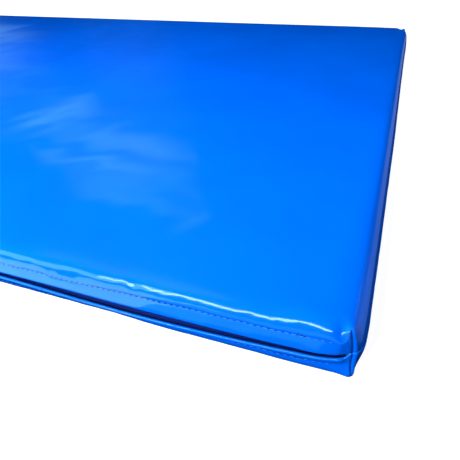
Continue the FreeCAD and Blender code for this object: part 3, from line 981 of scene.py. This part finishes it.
def tape(name, row_z, coil_edge_z, node):
    sewn, back = 2.5 * MM, tape_high[1] - front_y - TAPE_T / 2 - SLIDES_FREE
    side = 1 if row_z > zip_z else -1
    far_z = row_z + side * 3.4 * MM
    bend_z = row_z - side * 3.2 * MM
    profile = [
        (sewn, far_z),
        (sewn, row_z),
        (sewn + 0.3 * MM, bend_z),
        (0.5 * (sewn + back), bend_z - side * 2.6 * MM),
        (back, bend_z - side * 5.2 * MM),
        (back, coil_edge_z),
    ]
    piece = long_strip(name, slot_half, 240, profile)
    give_thickness(piece, TAPE_T)
    dress(piece, tape_finish, "zip_tape", "cover", node)
    return piece


upper_tape = tape("zip_tape_upper_cloth", upper_row_z, coil_low[2], "zip_tape_upper")
lower_tape = tape("zip_tape_lower_cloth", lower_row_z, 2 * zip_z - coil_low[2], "zip_tape_lower")
print("tapes reach", round(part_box("zip_tape_upper")[1][2], 4), round(max(get_points(upper_tape)[:, 2]), 4))

# %% [markdown]
# ## The zip's coils
#
# The teeth of a coil zip are the turns of one nylon thread, flattened so that each turn has a
# small head. One turn is a ring with only a few faces, stretched across the tape, and it is
# arrayed about a thousand times. The two sides are half a pitch apart, so their heads pass each
# other and lock. At both ends, where the slider stops, they are apart and leave room for its
# post. In between they stay locked: the slider doesn't part them as it passes.

# %% One tooth, arrayed
TOOTH_PITCH = 2.0 * MM
WIRE_R = 0.38 * MM
HEAD_LAP = 0.62 * MM


def coil(name, side, node):
    low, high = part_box(node)
    count = int((high[0] - low[0]) / TOOTH_PITCH) - 1
    start = -(count - 1) / 2 * TOOTH_PITCH + (side - 1) * TOOTH_PITCH / 4
    deep = (high[1] - low[1]) / 2 - WIRE_R
    reach = (high[2] - low[2]) / 2 - WIRE_R
    wheel = {"major_segments": 10, "minor_segments": 4, "major_radius": 1, "minor_radius": 0.3}
    piece = new_piece(name, bpy.ops.mesh.primitive_torus_add, rotation=(0, math.pi / 2, 0), **wheel)
    points = get_points(piece)
    ring = np.hypot(points[:, 1], points[:, 2])
    turn = points[:, [1, 2]] / ring[:, None]
    wire = (ring - 1) / 0.3 * WIRE_R
    y = turn[:, 0] * (deep + wire)
    z = turn[:, 1] * (reach + wire)
    x = points[:, 0] / 0.3 * WIRE_R + 0.35 * MM * turn[:, 0]
    set_points(piece, np.column_stack([start + x, middle(node, 1) + y, middle(node, 2) + z]))
    repeat_along_x(piece, TOOTH_PITCH, count)
    x, y, z = get_points(piece).T
    to_centre = (zip_z - middle(node, 2)) * side
    gap = abs(to_centre) - (high[2] - low[2]) / 2
    free = smooth((half_x - np.abs(x) - 42 * MM) / (12 * MM))
    head = np.clip((middle(node, 2) - z) * side / reach, 0, 1)
    z = z - side * (gap + HEAD_LAP) * head * free
    forward = 1.4 * MM * smooth((half_x - np.abs(x) - 60 * MM) / (80 * MM))
    set_points(piece, np.column_stack([x, y - forward, z]))
    bpy.ops.object.shade_smooth()
    dress(piece, coil_finish, "zip_coil", "cover", node)
    return piece


upper_coil = coil("zip_teeth_upper", 1, "zip_coil_upper")
lower_coil = coil("zip_teeth_lower", -1, "zip_coil_lower")
print("teeth faces:", len(upper_coil.data.polygons))

# %% [markdown]
# ## Stitches
#
# A lockstitch shows as short lengths of thread that come out of one needle hole, lie on the
# sheet and go down the next. Each is a thin tube with its two ends bent down into the holes.
# It is made once and arrayed at the stitch length, so its ends always meet the holes.

# %% A row of stitches
THREAD_R = 0.22 * MM
THREAD_RISE = 0.16 * MM


def stitch_row(name, row_z, node):
    low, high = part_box(node)
    count = int(round((high[0] - low[0]) / STITCH_PITCH))
    tube = {"vertices": 6, "radius": THREAD_R, "depth": STITCH_PITCH * 0.98}
    piece = new_piece(name, bpy.ops.mesh.primitive_cylinder_add, rotation=(0, math.pi / 2, 0), **tube)
    select_edges(piece, lambda place, way: abs(way.x) > 0.9)
    bpy.ops.mesh.subdivide(number_cuts=5)
    object_mode()
    points = get_points(piece)
    points[:, 0] -= (count - 1) / 2 * STITCH_PITCH
    set_points(piece, points)
    repeat_along_x(piece, STITCH_PITCH, count)
    x, y, z = get_points(piece).T
    number = np.rint(x / STITCH_PITCH)
    from_middle = (x - number * STITCH_PITCH) / (STITCH_PITCH / 2)
    thin = 1 - 0.35 * np.abs(from_middle) ** 3
    rise = THREAD_RISE - (THREAD_RISE + 2.4 * MM) * np.abs(from_middle) ** 2.5
    upper = row_z > zip_z
    lean = 0.18 * MM * from_middle + 0.12 * MM * np.sin(2.7 * number)
    surface_z = row_z + z * thin + lean + row_rise(x, upper)
    clear_of_corner = smooth((half_x - np.abs(x) - 10 * MM) / (30 * MM))
    row_height = np.full_like(x, row_z)
    out = puckers(x, row_height, row_z, 3 if upper else 4)
    if upper:
        out = out + roll_lumps(x, row_height)
    out = out * clear_of_corner - ROW_VALLEY
    push_x, push_y = let_out(x, np.full_like(x, front_y), surface_z)
    set_points(piece, np.column_stack([x, front_y + y * thin - rise - out + push_y, surface_z]))
    bpy.ops.object.shade_smooth()
    dress(piece, thread_finish, "sewing_thread", "cover", node)
    return piece


upper_stitches = stitch_row("stitches_upper", upper_row_z, "zip_stitches_upper")
lower_stitches = stitch_row("stitches_lower", lower_row_z, "zip_stitches_lower")
print("stitch row faces:", len(upper_stitches.data.polygons))


# %% The seam thread inside the allowance goes out with the wall
def merged_copy(node, name):
    """A copy of a solid's mesh with its loose triangles joined."""
    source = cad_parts[node]
    piece = bpy.data.objects.new(name, source.data.copy())
    bpy.context.collection.objects.link(piece)
    only(piece)
    edit_mode()
    bpy.ops.mesh.remove_doubles(threshold=0.00001)
    object_mode()
    return piece


seam_thread = merged_copy("side_seam_thread", "side_seam_stitches")
x, y, z = get_points(seam_thread).T
push_x, push_y = let_out(x, y, z)
set_points(seam_thread, np.column_stack([x + push_x, y + push_y, z]))
dress(seam_thread, thread_finish, "sewing_thread", "cover", "side_seam_thread")
print("seam thread points:", len(x))

corner_thread = merged_copy("corner_seam_threads", "corner_seam_stitches")
x, y, z = get_points(corner_thread).T
inside = np.maximum(seam_inset(z) + SEAM_VALLEY + 1.6 * MM - (half_x - np.abs(x)), 0)
set_points(corner_thread, np.column_stack([x - np.sign(x) * inside, y - np.sign(y) * inside, z]))
dress(corner_thread, thread_finish, "sewing_thread", "cover", "corner_seam_threads")

# %% [markdown]
# ## The foam
#
# The core is a laminate of a softer layer on a firmer one. Its corners are rounded off so that
# it slips into the cover, a channel in its front leaves room for the zip and its slider, and its
# top takes on the waves of the sheet that it carries.

# %% Foam layers
FOAM_CORNER_R = 24 * MM
FOAM_RIM_R = 12 * MM
FOAM_CLEAR = 1.5 * MM
FOAM_CUTS = 40  # the top layer is cut this often each way, so that it can take on the waves
CHANNEL_HALF = 13.4 * MM
CHANNEL_CLEAR = 0.3 * MM


def cut_channel(piece):
    """Take the channel that the zip and its slider run in out of the foam's front."""
    outside = front_y - 1 * MM
    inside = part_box("slider_body")[1].y + CHANNEL_CLEAR
    size = (2.2 * half_x, inside - outside, 2 * CHANNEL_HALF)
    block = {"size": 1, "location": (0, (outside + inside) / 2, zip_z), "scale": size}
    cutter = new_piece("cutter", bpy.ops.mesh.primitive_cube_add, **block)
    cut = piece.modifiers.new("zip channel", "BOOLEAN")
    cut.operation = "DIFFERENCE"
    cut.solver = "EXACT"
    cut.object = cutter
    apply_modifiers(piece)
    bpy.data.objects.remove(cutter)
    only(piece)


def foam_layer(node, name, is_top):
    low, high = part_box(node)
    rim_z = high.z if is_top else low.z
    block = {"size": 1, "location": (low + high) / 2, "scale": high - low}
    piece = new_piece(name, bpy.ops.mesh.primitive_cube_add, **block)
    select_edges(piece, lambda place, way: abs(way.z) > 0.9)
    bpy.ops.mesh.bevel(offset=FOAM_CORNER_R, segments=4, affect="EDGES")
    select_edges(piece, lambda place, way: abs(way.z) < 0.1 and abs(place.z - rim_z) < 1e-6)
    bpy.ops.mesh.bevel(offset=FOAM_RIM_R, segments=4, affect="EDGES")
    object_mode()
    cut_channel(piece)
    bpy.ops.object.mode_set(mode="EDIT")
    if is_top:
        for step in range(1, FOAM_CUTS):
            for axis, low_end, high_end in ((0, low.x, high.x), (1, low.y, high.y)):
                cut = Vector((0, 0, 0))
                cut[axis] = low_end + (high_end - low_end) * step / FOAM_CUTS
                normal = Vector((0, 0, 0))
                normal[axis] = 1
                bpy.ops.mesh.select_all(action="SELECT")
                bpy.ops.mesh.bisect(plane_co=cut, plane_no=normal)
    object_mode()
    if is_top:
        x, y, z = get_points(piece).T
        upper = smooth((z - low.z) / (high.z - low.z))
        edge_gap = np.minimum(half_x - np.abs(x), half_y - np.abs(y))
        lower = FOAM_CLEAR + 4 * MM * smooth(1 - edge_gap / (50 * MM))
        set_points(piece, np.column_stack([x, y, z + (top_waves(x, y) - lower) * upper]))
    bpy.ops.object.shade_smooth_by_angle(angle=math.radians(40))
    dress(piece, soft_foam if is_top else firm_foam, "core_foam", "cover", node)
    return piece


for node, name in (("core_top_layer", "foam_top_layer"), ("core_base_layer", "foam_base_layer")):
    foam = foam_layer(node, name, node == "core_top_layer")
    print(foam.name, len(foam.data.polygons), "faces")

# %% [markdown]
# ## Slider and stops
#
# These keep the solids' own shapes. The solids get their finishes, and the slider and its pull
# are copies with their edges rounded, because cast and enamelled edges catch a thin line of light.

# %% Small parts
def rounded_copy(node, name, width, finish, slot_name, body):
    piece = merged_copy(node, name)
    edge = piece.modifiers.new("cast edge", "BEVEL")
    edge.width = width
    edge.segments = 2
    edge.limit_method = "ANGLE"
    edge.angle_limit = math.radians(50)
    apply_modifiers(piece)
    bpy.ops.object.shade_smooth_by_angle(angle=math.radians(50))
    dress(piece, finish, slot_name, body, node)
    return piece


rounded_copy("slider_body", "slider", 0.25 * MM, enamel_finish, "slider_metal", "slider")
rounded_copy("slider_pull", "pull_tab", 0.2 * MM, enamel_finish, "slider_metal", "pull")
for node in ("zip_top_stop_upper", "zip_top_stop_lower", "zip_bottom_stop"):
    for slot_of_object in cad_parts[node].material_slots:
        slot_of_object.material = stop_finish
    print(node, "gets", stop_finish.name)
